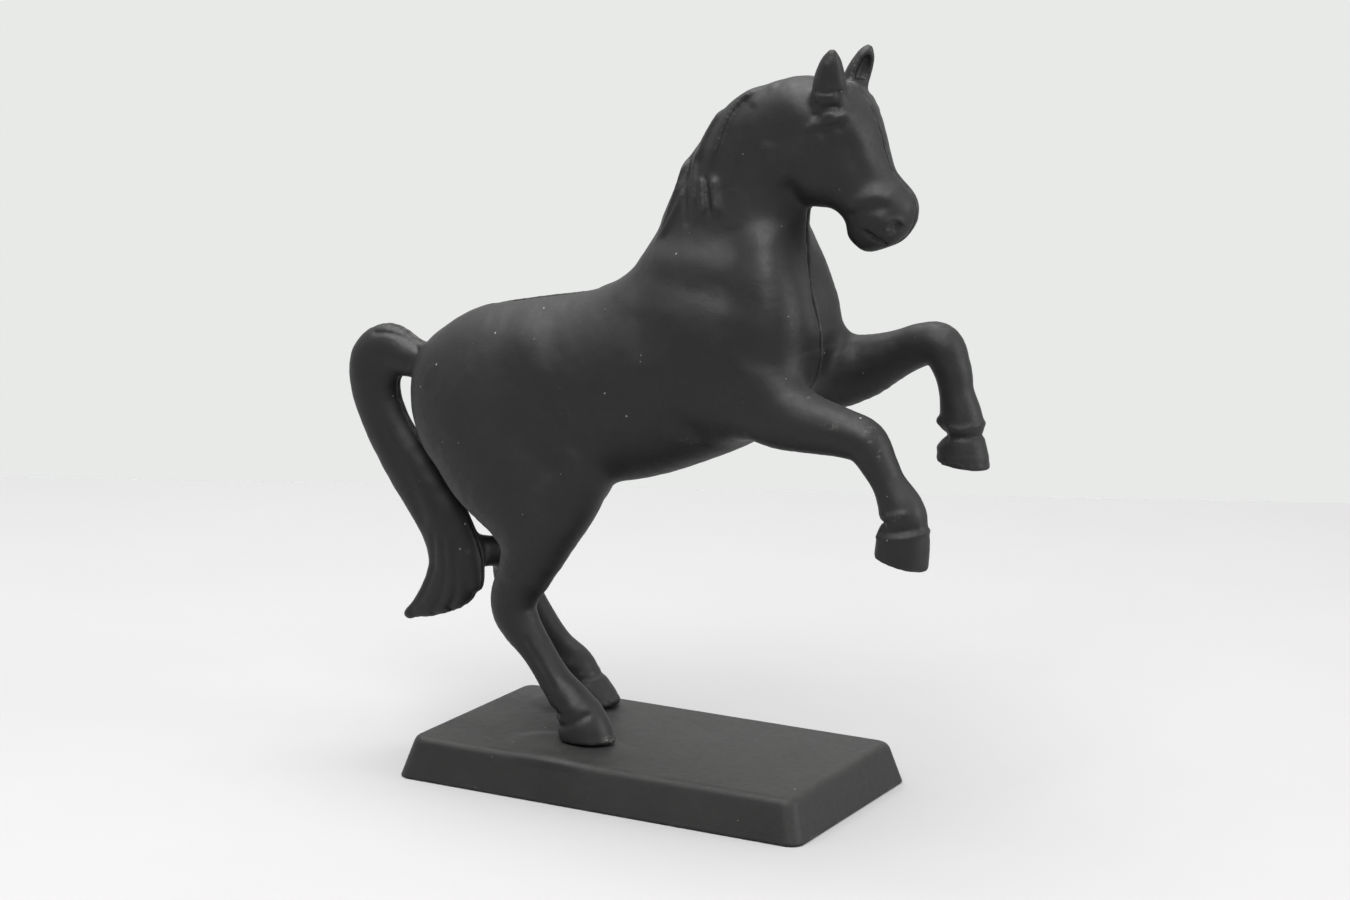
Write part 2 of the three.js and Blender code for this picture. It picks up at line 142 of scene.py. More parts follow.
RIGHT_HIND_LEG = [
    (-43.5, -8, 90, 19.5, 11), (-36, -10, 80, 18.5, 10.5), (-29.5, -11, 70, 14, 9.3),
    (-27, -12, 61, 9.7, 7.6), (-29.2, -13, 53, 6.8, 5.8), (-32.5, -13, 45, 6, 5.2),
    (-31.1, -13, 39.5, 5.3, 5), (-25.5, -13, 32.5, 4, 4.3), (-20.5, -13, 26, 4, 4.3),
    (-16, -13, 21, 5.1, 4.8), (-13.8, -13, 18, 5.6, 5), (-12, -13, 14.8, 6.8, 5.8),
    (-11, -13, 10.5, 7.6, 6.3),
]
RIGHT_STIFLE = [
    (-12.4, -8.5, 83, 5.8, 8), (-16.2, -10, 74.5, 7.2, 8), (-19.4, -11, 67, 6.5, 7.5),
    (-24.8, -12, 59.5, 5.8, 6.8), (-28.6, -13, 52, 5.2, 5.6),
]
LEFT_HIND_LEG = [
    (-46, 8, 90, 19.5, 11), (-44, 10, 80, 18.5, 10.5), (-43.5, 12, 70, 14, 9.3),
    (-44.5, 14, 61, 9.7, 7.6), (-47, 15.5, 53, 6.9, 5.8), (-50, 16.5, 45, 6.1, 5.2),
    (-48.6, 17, 39.5, 5.3, 5), (-42.8, 17, 32.5, 4, 4.3), (-37.2, 17, 26, 3.9, 4.3),
    (-32, 17, 21.3, 4.8, 4.8), (-30, 17, 18.5, 4.8, 5), (-28, 17, 15.2, 5.6, 5.8),
    (-26, 17, 10.8, 7.2, 6.3),
]
LEFT_STIFLE = [
    (-18, 8.5, 84, 6, 8), (-24, 10, 74.5, 7, 8), (-29.5, 11.5, 67, 6.5, 7.5),
    (-37, 13.5, 59.5, 6, 6.8), (-44.5, 15, 52, 5.5, 5.6),
]
TAIL = [
    (-60, 0, 98, 4, 4.5), (-69, 0, 100.3, 4.9, 4.8), (-76.9, 0, 101.7, 7.1, 4.9),
    (-81.4, 0, 97.8, 7.6, 4.8), (-81.6, 0, 90.5, 6.8, 4.7), (-78, 0, 82, 6.5, 4.6),
    (-72.2, 0, 73.5, 7.1, 4.5), (-65.6, 0, 65, 7.3, 4.4), (-60.4, 0, 57.5, 7.5, 4.2),
    (-57.8, 0, 50, 7.7, 4), (-58.8, 0, 43, 7.1, 3.6), (-63.9, 0, 37.5, 3.9, 3),
    (-70.3, 0, 34, 1.7, 1.8),
]
TAIL_STRUT = [(-56, 1, 51.5, 5, 3), (-51, 7, 51, 4, 3), (-49, 13, 49.5, 5.2, 4.5)]
TAIL_LOCKS = [  # the wavy lower end of the tail
    [(-63, 0, 45, 2.6, 3), (-67, 0, 38, 2.2, 2.6), (-71.8, 0, 33.2, 1.4, 1.6)],
    [(-61, 0, 45, 3, 3.2), (-64, 0, 39, 2.6, 2.8), (-66.6, 0, 35.2, 1.6, 1.8)],
    [(-58, 0, 46, 3, 3.4), (-59.6, 0, 41, 2.6, 3), (-60.9, 0, 37.6, 1.8, 2)],
    [(-55, 0, 48, 3, 3.4), (-55.3, 0, 43.5, 2.6, 3), (-55.7, 0, 39.6, 2, 2.2)],
    [(-53, 0, 51, 3, 3.2), (-52, 0, 46.5, 2.4, 2.6), (-51.7, 0, 43, 1.8, 2)],
]
RIGHT_EAR = [
    (47.9, -6.4, 172.5, 4.5, 3.4), (48.5, -7.4, 177, 4, 3), (49.1, -8.3, 180.8, 2.7, 2.2),
    (49.6, -8.9, 183.2, 1.2, 1),
]
LEFT_EAR = [
    (48, 5.6, 172.8, 2.9, 3.4), (49.1, 6.1, 177.2, 3, 3), (50.7, 6.5, 181.2, 2.3, 2.2),
    (51.5, 6.7, 183.4, 1.2, 1),
]


def mirrored(stations):
    """The same limb on the other side of the horse."""
    return [(x, -y, z, depth, width) for x, y, z, depth, width in stations]


# A limb: its stations, the lengths of its two round ends, how softly it blends into the rest,
# and the plane (a point, and the way it faces) that cuts its sole flat
LIMBS = [
    (TRUNK, 16.8, 16, 0, None), (NECK, 12, 8, 4, None), (HEAD, 9, 7.4, 4, None),
    (JOWL, 6.5, 6, 3, None), (CHIN, 3.3, 3.2, 2.5, None), (FOREHEAD, 3, 3, 2.5, None),
    (BROW, 3, 3, 2, None), (mirrored(BROW), 3, 3, 2, None),
    (CHEST, 4, 8, 3.5, None), (mirrored(CHEST), 4, 8, 3.5, None),
    (RIGHT_FORELEG, 8, 3, 5, ((72, -14, 67.3), (-0.2, 0, -0.98))),
    (LEFT_FORELEG, 8, 3, 5, ((76, 14, 85.9), (-0.14, 0, -0.99))),
    (RIGHT_HIND_LEG, 14, 3, 3.5, ((-11, -13, SOLE), (0, 0, -1))),
    (RIGHT_STIFLE, 6, 4, 2.5, None),
    (LEFT_HIND_LEG, 14, 3, 3.5, ((-27, 17, SOLE), (0, 0, -1))),
    (LEFT_STIFLE, 6, 4, 2.5, None),
    (TAIL, 4, 2, 2, None), *((lock, 3, 1.2, 0.8, None) for lock in TAIL_LOCKS),
    (TAIL_STRUT, 3, 3, 2, None),
    (RIGHT_EAR, 3, 1.1, 1.2, None), (LEFT_EAR, 3, 1.1, 1.2, None),
]

# ---------------------------------------------------------------- fields
# A field gives, for an array of points, how far each is outside a solid (negative inside)

FAR = 40.0


def join(a, b, soft):
    """Union of two fields, filleted over about `soft` millimetres."""
    if np.ndim(soft) == 0 and soft <= 0:
        return np.minimum(a, b)
    h = np.clip(0.5 + 0.5 * (b - a) / soft, 0, 1)
    return b * (1 - h) + a * h - soft * h * (1 - h)


def cut(a, b, soft=0.0):
    """Field a without field b."""
    return -join(-a, b, soft)


def keep(a, b, soft=0.0):
    """What fields a and b share."""
    return -join(-a, -b, soft)


def smooth_rows(rows, per_span):
    """Catmull-Rom curve through rows of numbers."""
    rows = np.array(rows, float)
    ends = np.vstack([2 * rows[0] - rows[1], rows, 2 * rows[-1] - rows[-2]])
    t = (np.arange(per_span) / per_span)[:, None]
    spans = []
    for p0, p1, p2, p3 in zip(ends[:-3], ends[1:-2], ends[2:-1], ends[3:]):
        spans.append(0.5 * (2 * p1 + (p2 - p0) * t + (2 * p0 - 5 * p1 + 4 * p2 - p3) * t**2
                            + (3 * p1 - p0 - 3 * p2 + p3) * t**3))
    return np.vstack(spans + [rows[-1:]])


def limb_field(points, stations, start_dome, end_dome, per_span=5):
    """An elliptical tube along a smooth line, with a dome over each end."""
    rows = smooth_rows(stations, per_span)
    line, depth, width = rows[:, :3], rows[:, 3], rows[:, 4]
    along = np.gradient(line, axis=0)
    along /= np.linalg.norm(along, axis=1)[:, None]
    across = np.array([0, 1, 0]) - along * along[:, 1:2]
    across /= np.linalg.norm(across, axis=1)[:, None]
    upward = np.cross(across, along)
    nearest = np.full(len(points), FAR, np.float32)
    for i in range(len(line) - 1):
        step = line[i + 1] - line[i]
        length = np.linalg.norm(step)
        t = np.clip((points - line[i]) @ (step / length**2), 0, 1).astype(np.float32)
        a = depth[i] + t * (depth[i + 1] - depth[i])
        b = width[i] + t * (width[i + 1] - width[i])
        offset = points - line[i] - t[:, None] * step
        run = offset @ (step / length)
        cap = np.minimum(a, b)
        if i == 0:
            cap = np.where(run < 0, start_dome, cap)
        if i == len(line) - 2:
            cap = np.where(run > 0, end_dome, cap)
        size = np.sqrt((offset @ (upward[i] + upward[i + 1]) / (2 * a)) ** 2
                       + (offset @ (across[i] + across[i + 1]) / (2 * b)) ** 2 + (run / cap) ** 2)
        np.minimum(nearest, (size - 1) * np.minimum(np.minimum(a, b), np.maximum(cap, 1.5)), out=nearest)
    return nearest


def add_limb(field, points, limb):
    """Blends one limb into a field, working only on the points round it."""
    stations, start_dome, end_dome, soft, sole = limb
    rows = np.array(stations, float)
    reach = np.maximum(rows[:, 3:4], rows[:, 4:5])
    room = soft + 4 + max(start_dome, end_dome) * 0.6
    low, high = (rows[:, :3] - reach).min(0) - room, (rows[:, :3] + reach).max(0) + room
    here = np.all((points > low) & (points < high), axis=1)
    piece = limb_field(points[here], stations, start_dome, end_dome)
    if sole:
        point, faces = sole
        piece = keep(piece, (points[here] - point) @ np.array(faces) / np.linalg.norm(faces), 0.3)
    field[here] = join(field[here], piece, soft)


def body_field(points):
    """The plain horse, before its details."""
    field = np.full(len(points), FAR, np.float32)
    for limb in LIMBS:
        add_limb(field, points, limb)
    return field


def thinned(stations, by):
    """The stations of a smaller limb inside the first."""
    return [(x, y, z, depth - by, width - by) for x, y, z, depth, width in stations]


def coin_space(points):
    """The hollow for coins in the trunk and the lower neck."""
    trunk = limb_field(points, thinned(TRUNK, WALL), 12.5, 11)
    neck = limb_field(points, thinned(NECK[:4], WALL), 8, 5)
    return join(trunk, neck, 3)


# ---------------------------------------------------------------- grids

class Grid:
    """A block of evenly spaced points, with a field's value at each."""

    def __init__(self, low, shape, step, values=None):
        self.low, self.shape, self.step, self.values = np.array(low, float), tuple(shape), step, values

    def axis(self, i):
        """The points' coordinates along one axis, shaped to spread over the block."""
        line = self.low[i] + self.step * np.arange(self.shape[i])
        return line.astype(np.float32).reshape([-1 if k == i else 1 for k in range(3)])

    def box(self, low, high):
        """The part of the block between two corners; its values are shared, not copied."""
        first = np.clip(np.floor((np.array(low) - self.low) / self.step).astype(int), 0, self.shape)
        last = np.clip(np.ceil((np.array(high) - self.low) / self.step).astype(int) + 1, 0, self.shape)
        window = tuple(slice(a, b) for a, b in zip(first, last))
        return Grid(self.low + self.step * first, last - first, self.step, self.values[window])

    def copy(self):
        return Grid(self.low, self.shape, self.step, self.values.copy())

    def doubled(self):
        """The same block at half the step, filled in by a cubic."""
        values = self.values
        for i in range(3):
            v = np.moveaxis(values, i, 0)
            padded = np.concatenate([v[:1], v, v[-1:]])
            fine = np.empty((2 * len(v) - 1,) + v.shape[1:], np.float32)
            fine[::2] = v
            fine[1::2] = (9 * (v[:-1] + v[1:]) - padded[:-3] - padded[3:]) / 16
            values = np.moveaxis(fine, 0, i)
        return Grid(self.low, values.shape, self.step / 2, values)

    def evaluate(self, field, within=None):
        """Fills in the field where the values so far say that its surface is within reach."""
        todo = np.ones(self.shape, bool) if within is None else np.abs(self.values) < within
        where = np.nonzero(todo)
        points = np.stack([self.low[i] + self.step * where[i] for i in range(3)], 1).astype(np.float32)
        values = field(points)
        if within is None:
            self.values = values.reshape(self.shape)
        else:
            self.values[where] = values


def sampled(field, low, high, step):
    """A field on a block of points: exact near the surface, rough away from it."""
    coarse = step * 8
    shape = np.ceil((np.array(high) - low) / coarse).astype(int) + 1
    grid = Grid(low, shape, coarse)
    grid.evaluate(field)
    for within in (6 * step + 2.5, 3 * step + 2):
        grid = grid.doubled()
        grid.evaluate(field, within)
    return grid.doubled()


def empty(low, high, step):
    """A grid between two corners, without values yet."""
    low, high = np.array(low, float), np.array(high, float)
    return Grid(low, np.ceil((high - low) / step).astype(int) + 1, step)


def bar_y(grid, x, z, radius, y0, y1):
    """A round bar along Y."""
    r = np.hypot(grid.axis(0) - x, grid.axis(2) - z) - radius
    return keep(r, np.abs(grid.axis(1) - (y0 + y1) / 2) - (y1 - y0) / 2, EDGE)


def bar_z(grid, x, y, radius, z0, z1):
    """A round bar along Z."""
    r = np.hypot(grid.axis(0) - x, grid.axis(1) - y) - radius
    return keep(r, np.abs(grid.axis(2) - (z0 + z1) / 2) - (z1 - z0) / 2, EDGE)


def block(grid, low, high, corner=EDGE):
    """A box with round edges."""
    q = [np.abs(grid.axis(i) - (low[i] + high[i]) / 2) - (high[i] - low[i]) / 2 + corner for i in range(3)]
    outside = np.sqrt(sum(np.maximum(side, 0) ** 2 for side in q))
    return outside + np.minimum(np.maximum(np.maximum(q[0], q[1]), q[2]), 0) - corner


# ---------------------------------------------------------------- meshing

def relax(points, quads, rounds=2):
    """Smooths away the voxels' steps without shrinking the shape."""
    edges = np.vstack([quads[:, [i, (i + 1) % 4]] for i in range(4)]).astype(int)
    valence = np.bincount(edges.ravel(), minlength=len(points))[:, None]
    for _ in range(rounds):
        for weight in (0.5, -0.52):
            total = np.zeros_like(points)
            for axis in range(3):
                total[:, axis] = (np.bincount(edges[:, 0], points[edges[:, 1], axis], len(points))
                                  + np.bincount(edges[:, 1], points[edges[:, 0], axis], len(points)))
            points = points + weight * (total / valence - points)
    return points


def bend(points, grid, reach):
    """How sharply the surface bends at each point: above 0 on edges, below 0 in hollows."""
    volume = -6 * trilinear(grid, points)
    for axis in range(3):
        for way in (-reach, reach):
            volume += trilinear(grid, points + way * np.eye(3)[axis])
    return volume / reach


def trilinear(grid, points):
    """A grid's field at any points."""
    place = (points - grid.low) / grid.step
    cell = np.clip(place.astype(int), 0, np.array(grid.shape) - 2)
    fx, fy, fz = np.clip(place - cell, 0, 1).T
    i, j, k = cell.T
    v = grid.values
    near = (v[i, j, k] * (1 - fx) + v[i + 1, j, k] * fx) * (1 - fy)
    near += (v[i, j + 1, k] * (1 - fx) + v[i + 1, j + 1, k] * fx) * fy
    far = (v[i, j, k + 1] * (1 - fx) + v[i + 1, j, k + 1] * fx) * (1 - fy)
    far += (v[i, j + 1, k + 1] * (1 - fx) + v[i + 1, j + 1, k + 1] * fx) * fy
    return near * (1 - fz) + far * fz


def scuffed(points):
    """How far the paint is rubbed at each point, by the worn spots."""
    rubbed = np.zeros(len(points))
    for centre, radii, strength in SCUFFS:
        away = np.linalg.norm((points - centre) / np.array(radii), axis=1)
        rubbed = np.maximum(rubbed, strength * np.clip(1.4 - away, 0, 1))
    return rubbed


def mesh_object(name, grid, reach=1.2):
    """A smooth-shaded object on a grid's zero surface, with its edges and worn spots marked."""
    volume = openvdb.FloatGrid(3.0)
    volume.copyFromArray(np.ascontiguousarray(np.clip(grid.values, -3, 3), np.float32))
    volume.transform = openvdb.createLinearTransform(grid.step)
    points, quads = volume.convertToQuads(0.0)
    points = relax(points + grid.low, quads)
    mesh = bpy.data.meshes.new(name)
    mesh.vertices.add(len(points))
    mesh.vertices.foreach_set("co", ((points + [SHIFT, 0, 0]) * MM).astype(np.float32).ravel())
    mesh.loops.add(quads.size)
    mesh.loops.foreach_set("vertex_index", quads.astype(np.int32).ravel())
    mesh.polygons.add(len(quads))
    mesh.polygons.foreach_set("loop_start", np.arange(0, quads.size, 4, dtype=np.int32))
    mesh.polygons.foreach_set("use_smooth", np.ones(len(quads), bool))
    mesh.update(calc_edges=True)
    for label, values in (("bend", bend(points, grid, reach)), ("scuff", scuffed(points))):
        mesh.attributes.new(label, "FLOAT", "POINT").data.foreach_set("value", values.astype(np.float32))
    item = bpy.data.objects.new(name, mesh)
    bpy.context.collection.objects.link(item)
    return item


# ---------------------------------------------------------------- relief
# Details are raised on or sunk into the surface as seen from the side: each is a stroke through
# (x, z) points, its height (negative sinks), and how far it reaches to each side of its line.
# Going along the points, the first reach is to the left, as seen from the horse's right.

HEAD_RELIEF = [
    ([(44.2, 168), (46.5, 169.3), (48.6, 170.6), (50.6, 171), (52.4, 171.1)], -0.7, 0.8, 1.2),  # eye crease
    ([(45.8, 172), (48.5, 173.5), (51.5, 173.7)], 0.6, 1.6, 1.2),  # brow
    ([(48.4, 169.3), (50.4, 169.7)], 0.55, 0.9, 0.9),  # eyeball
    ([(44.3, 165.9), (47.4, 167.3), (50.7, 168.2), (53.4, 169.4)], 0.5, 0.9, 0.9),  # lower lid
    ([(46.5, 164.4), (50, 166.2), (53, 167.2)], -0.35, 0.8, 1.2),
    ([(54.5, 148.4), (57.5, 150), (61, 151.3), (63.2, 151)], 0.6, 1.7, 1.7),  # nasal bump
    ([(55, 146.2), (58.5, 147.6), (62.3, 148.4)], -0.35, 1.2, 1.2),
    ([(62.4, 145.2), (63, 145.1)], 0.35, 1.4, 1.4),
    ([(64.3, 143.6), (65.2, 144.5)], -0.9, 0.7, 0.7),  # nostril
    ([(63.3, 143.6), (64.2, 145.3), (65.4, 145.9), (66.2, 145)], 0.4, 0.5, 0.5),
    ([(62.2, 139.2), (60.6, 140.6), (58.8, 142), (57.2, 142.8)], -0.9, 0.45, 0.6),  # mouth
    ([(33, 163), (33.3, 158.5), (35, 154.5), (38, 151.3)], 0.45, 3.2, 1.4),  # jowl's edge
]
MANE_RELIEF = [
    ([(30, 175), (25.5, 172.3), (22.6, 169.2), (20.8, 164.6), (19.6, 159.4), (17.6, 154.6)],
     0.95, 0.8, 4.5),
    ([(34, 175.8), (30.7, 174.4), (29.2, 172.2), (28, 169.4)], 0.35, 1.2, 2.5),
    ([(19.5, 169.5), (16.8, 165), (15, 160.6), (14.2, 156.4)], 0.65, 0.9, 1.3),
    ([(13.4, 159.5), (13.2, 155), (14, 150), (15.4, 145.2)], 0.7, 1.1, 0.6),
    ([(11, 158.8), (8.9, 154.2), (7.9, 149.5), (6.9, 145.4), (5.4, 141), (1.8, 134.8)], 0.75, 1.1, 0.6),
    ([(12, 153), (10, 147.6), (8.6, 144.3), (6.7, 140.4), (4.2, 137)], 0.6, 1, 0.6),
    ([(16.2, 151.6), (16.8, 148.5), (17.6, 145.6)], 0.75, 1.0, 1.0),  # lock ends
    ([(19.8, 151.8), (20.4, 148.8), (21.2, 145.8)], 0.9, 1.2, 1.2),
    ([(17.8, 152), (18.6, 149), (19.2, 145)], -0.3, 0.9, 0.9),
    ([(10.6, 156.5), (10.9, 152), (11.8, 147), (13, 142)], -0.4, 1.0, 1.0),
    ([(4, 138.5), (14, 139.6), (24, 139.8)], -0.5, 4, 4),
]
SHOULDER_RELIEF = [
    ([(0.5, 132.7), (6, 133.8), (11.4, 134.1), (18.4, 134.5), (24.8, 134), (29, 133.2)], 0.65, 1.1, 6.5),
    ([(4, 128.4), (15, 127.6), (26, 126.6), (34, 125)], -0.35, 2.2, 2.2),
    ([(6, 123), (16, 121.8), (27, 120.6), (36, 119)], 0.45, 3.5, 3.5),
    ([(-1.5, 131), (2, 124.5), (4.6, 116), (6.6, 106)], -0.5, 5, 1.5),
    ([(32.7, 109.2), (37.8, 107), (43.3, 104.4)], 0.5, 3, 3),
    ([(12.4, 96), (16.4, 93.2), (19.4, 90.8)], -0.9, 2.2, 2.2),
    ([(18.5, 89.6), (23, 90), (30.7, 92.2)], 0.45, 1.6, 1.6),
]
HIND_RELIEF = [
    ([(-25.8, 116), (-24, 110.6), (-22.3, 105.2), (-21.2, 100.5)], 0.6, 1.4, 6),  # hip
    ([(-30, 110)], 0.5, 5, 5),
    ([(-25.5, 94.6), (-21.4, 91.9), (-18.4, 88.6), (-15.8, 85), (-12.6, 80.6)], 0.9, 1.1, 4.5),
    ([(-20.4, 98), (-16.4, 93.4), (-13.4, 87.8), (-9.6, 82.6), (-7.2, 78.5)], -0.8, 1.7, 1.5),
]
RIGHT_EAR_RELIEF = [
    ([(45.4, 175), (48.4, 174.3), (52.4, 174.8)], -0.5, 0.45, 0.6),
    ([(49.2, 182), (48.6, 178.4), (47.8, 176)], 0.3, 0.6, 1.6),
]
RIGHT_LEG_RELIEF = [
    ([(69, 78), (72, 79.2), (75, 79.8)], 0.4, 0.8, 0.8),  # pastern, fore
    ([(66.6, 77.2), (69.5, 76.8)], -0.9, 0.8, 0.8),
    ([(68.6, 75), (73, 75.6), (77, 76.6)], -0.4, 0.6, 0.6),
    ([(67.5, 73.4), (73, 73.8), (77, 74.6), (79.6, 75.8)], 0.45, 0.6, 0.6),  # coronet, fore
    ([(-18.6, 15.6), (-15.4, 15.7), (-12.4, 17), (-9.4, 19)], -0.35, 0.8, 0.8),  # coronet, hind
    ([(-19.4, 18.6), (-17.6, 18.4)], -0.8, 0.9, 0.9),
    ([(-13, 20.4), (-9.6, 21.4)], 0.4, 1.8, 1.8),
    ([(-26.5, 36), (-22.6, 30.5), (-18.8, 25)], -0.35, 0.9, 0.9),  # tendon
]
LEFT_LEG_RELIEF = [
    ([(67.8, 96.6), (69.6, 96.2)], 0.9, 1.1, 1.1),  # fetlock tuft
    ([(69.6, 93.2), (72.4, 93.4)], -1.0, 0.9, 0.9),
    ([(73.5, 95.2), (77.1, 95), (80.2, 96.2)], 0.45, 0.9, 0.9),
    ([(72.6, 92.4), (76.4, 93.2), (81.2, 93.4)], -0.5, 0.6, 0.6),
    ([(69, 90), (71, 90.6)], 0.6, 1.1, 1.1),
    ([(-34, 23.2), (-31.4, 22)], 0.5, 1.2, 1.2),
    ([(-33.4, 17.8), (-28.6, 18), (-24, 20)], -0.35, 0.8, 0.8),  # coronet, hind
]
TAIL_RELIEF = [
    ([(-80, 106.4), (-75, 106.6), (-70, 105), (-66.2, 102.8)], -0.35, 0.5, 0.5),
    ([(-78.5, 84.5), (-73.4, 75.8), (-68.8, 68.5), (-65.2, 60)], -0.45, 2, 2),
    ([(-62, 56), (-62.6, 47), (-66, 39.5), (-70.4, 34.4)], -0.35, 0.8, 0.8),
    ([(-59, 55), (-58.6, 46), (-60.4, 39.5), (-63.6, 35)], -0.35, 0.8, 0.8),
    ([(-56, 54), (-55.4, 46), (-56, 41), (-58.4, 37)], -0.35, 0.8, 0.8),
]


def soften(values, size, step):
    """An array blurred along all its axes, over about `size` millimetres either way."""
    half = max(round(size / step), 1)
    for i in np.repeat(np.arange(values.ndim), 3):
        v = np.moveaxis(values, i, 0)
        padded = np.concatenate([v[:1]] * half + [v] + [v[-1:]] * half)
        total = sum(padded[k:k + len(v)] for k in range(2 * half + 1))
        values = np.moveaxis(total / (2 * half + 1), 0, i)
    return values


def relief_map(grid, strokes):
    """Height over the side view's plane that a list of strokes gives.

    A stroke with unequal reaches fades out towards its ends, so that no step shows there.
    """
    x, z = grid.axis(0)[:, 0], grid.axis(2)[0]
    height = np.zeros((grid.shape[0], grid.shape[2]), np.float32)
    for line, rise, left, right in strokes:
        line = np.array(line, float)
        if len(line) == 1:
            line = np.vstack([line, line + [0.01, 0]])
        reach = 2.6 * max(left, right)
        i = slice(*np.searchsorted(x[:, 0], [line[:, 0].min() - reach, line[:, 0].max() + reach]))
        k = slice(*np.searchsorted(z[0], [line[:, 1].min() - reach, line[:, 1].max() + reach]))
        px, pz = x[i], z[:, k]
        dense = smooth_rows(line, 4)
        best = np.full((px.shape[0], pz.shape[1]), 1e9)
        side = np.zeros_like(best)
        place = np.zeros_like(best)
        for n, ((ax, az), (bx, bz)) in enumerate(zip(dense[:-1], dense[1:])):
            dx, dz = bx - ax, bz - az
            t = np.clip(((px - ax) * dx + (pz - az) * dz) / (dx * dx + dz * dz), 0, 1)
            ox, oz = px - ax - t * dx, pz - az - t * dz
            away = np.hypot(ox, oz)
            closer = away < best
            best = np.where(closer, away, best)
            side = np.where(closer, dx * oz - dz * ox, side)
            place = np.where(closer, (n + t) / (len(dense) - 1), place)
        full = np.clip(5 * np.minimum(place, 1 - place), 0, 1) if left != right else 1
        falling = np.exp(-(best / np.where(side > 0, left, right)) ** 2)
        height[i, k] += rise * full * full * (3 - 2 * full) * falling
    return height


def rumple(grid, size, seed):
    """Smooth random bumps of about a size over the side view's plane, between -1 and 1."""
    lattice = np.random.default_rng(seed).uniform(-1, 1, (400, 400))
    u = (grid.axis(0)[:, 0, :] - HORSE_BOX[0][0] + 2 * size) / size
    w = (grid.axis(2)[0] - HORSE_BOX[0][2] + 2 * size) / size
    i, k = np.floor(u).astype(int), np.floor(w).astype(int)
    fu, fw = u - i, w - k
    fu, fw = fu * fu * (3 - 2 * fu), fw * fw * (3 - 2 * fw)
    return ((lattice[i, k] * (1 - fu) + lattice[i + 1, k] * fu) * (1 - fw)
            + (lattice[i, k + 1] * (1 - fu) + lattice[i + 1, k + 1] * fu) * fw)


# ---------------------------------------------------------------- the two halves

def smooth_trunk(grid):
    """Blurs the trunk and neck, fading out towards the tail, the head and the legs."""
    (rear, _, foot), (front, _, _) = BLUR_BOX
    trunk = grid.box(*BLUR_BOX)
    inside = (front - rear) / 2 - np.abs(trunk.axis(0) - (rear + front) / 2)
    share = np.clip(np.minimum(inside, trunk.axis(2) - foot) / BLUR_FADE, 0, 1)
    trunk.values[:] += share * (soften(trunk.values, BLUR, FINE) - trunk.values)


def uneven_skin(grid, seed):
    """The casting's slight waves, large and small."""
    return 0.08 * rumple(grid, 7, seed) + 0.05 * rumple(grid, 2.5, seed + 1)


def add_relief(grid):
    """Works the muscles, face, mane, joints and tail strands into both sides."""
    muscles = soften(relief_map(grid, SHOULDER_RELIEF + HIND_RELIEF), BLUR, FINE)
    off_crest = np.clip(np.abs(grid.axis(1)) / 4, 0.2, 1)  # the mane's locks are flat on the crest
    shared = relief_map(grid, MANE_RELIEF)[:, None] * off_crest + muscles[:, None]
    both = HEAD_RELIEF + TAIL_RELIEF
    near = relief_map(grid, both + RIGHT_EAR_RELIEF + RIGHT_LEG_RELIEF) + uneven_skin(grid, 1)
    far = relief_map(grid, both + LEFT_LEG_RELIEF) + uneven_skin(grid, 3)
    grid.values -= np.where(grid.axis(1) < 0, near[:, None], far[:, None]) + shared


def scoop_ears(grid):
    """Hollows the front of each ear; the far one stands a little further forward."""
    x, y, z = EAR_HOLLOW
    for side, forward in ((-1, 0), (1, 0.4)):
        ear = grid.box((44, -11, 172), (56, 11, 187))
        up = ear.axis(2) - z
        along = (ear.axis(0) - x - forward - up * 0.15) / EAR_HOLLOW_RADIUS
        across = (ear.axis(1) - side * (y + up * 0.3)) / EAR_HOLLOW_RADIUS
        scoop = np.sqrt(along**2 + across**2 + (up / EAR_HOLLOW_HEIGHT) ** 2)
        ear.values[:] = cut(ear.values, np.maximum((scoop - 1) * 1.5, EAR_FOOT - ear.axis(2)), 0.9)


def hollow_out(grid):
    """Makes the room for coins, with the bosses for the screw and the lugs across it."""
    room = grid.box((-75, -17, 68), (48, 17, 158))
    hollow = sampled(coin_space, room.low, room.low + room.step * (np.array(room.shape) - 1), FINE)
    hollow.values = hollow.values[:room.shape[0], :room.shape[1], :room.shape[2]]
    outside = room.values.copy()
    room.values[:] = cut(room.values, hollow.values, 0.8)
    bosses = bar_y(room, SCREW_X, SCREW_Z, BOSS_RADIUS, -20, 20)
    for x, z in LUG_PLACES:
        bosses = np.minimum(bosses, bar_y(room, x, z, LUG_BOSS, -20, 20))
    room.values[:] = join(room.values, keep(bosses, outside + 0.6), 1.2)


def cut_coin_slot(grid):
    """The slot for coins, through the back."""
    slot = grid.box((SLOT_FROM - 3, -5, 108), (SLOT_TO + 3, 5, 132))
    hole = block(slot, (SLOT_FROM, -SLOT_WIDTH / 2, 110), (SLOT_TO, SLOT_WIDTH / 2, 130))
    slot.values[:] = cut(slot.values, hole, 0.5)


def horse_grid():
    """The hollow horse with its bosses and coin slot, before it is cut in two."""
    grid = sampled(body_field, *HORSE_BOX, FINE)
    for work in (smooth_trunk, add_relief, scoop_ears, hollow_out, cut_coin_slot):
        work(grid)
    return grid


def seam_edge(grid):
    """How round the edge along the seam is, from place to place."""
    return np.maximum(0.65 + 0.35 * rumple(grid, 6, 5) + 0.45 * rumple(grid, 1.8, 6), 0.15)[:, None]


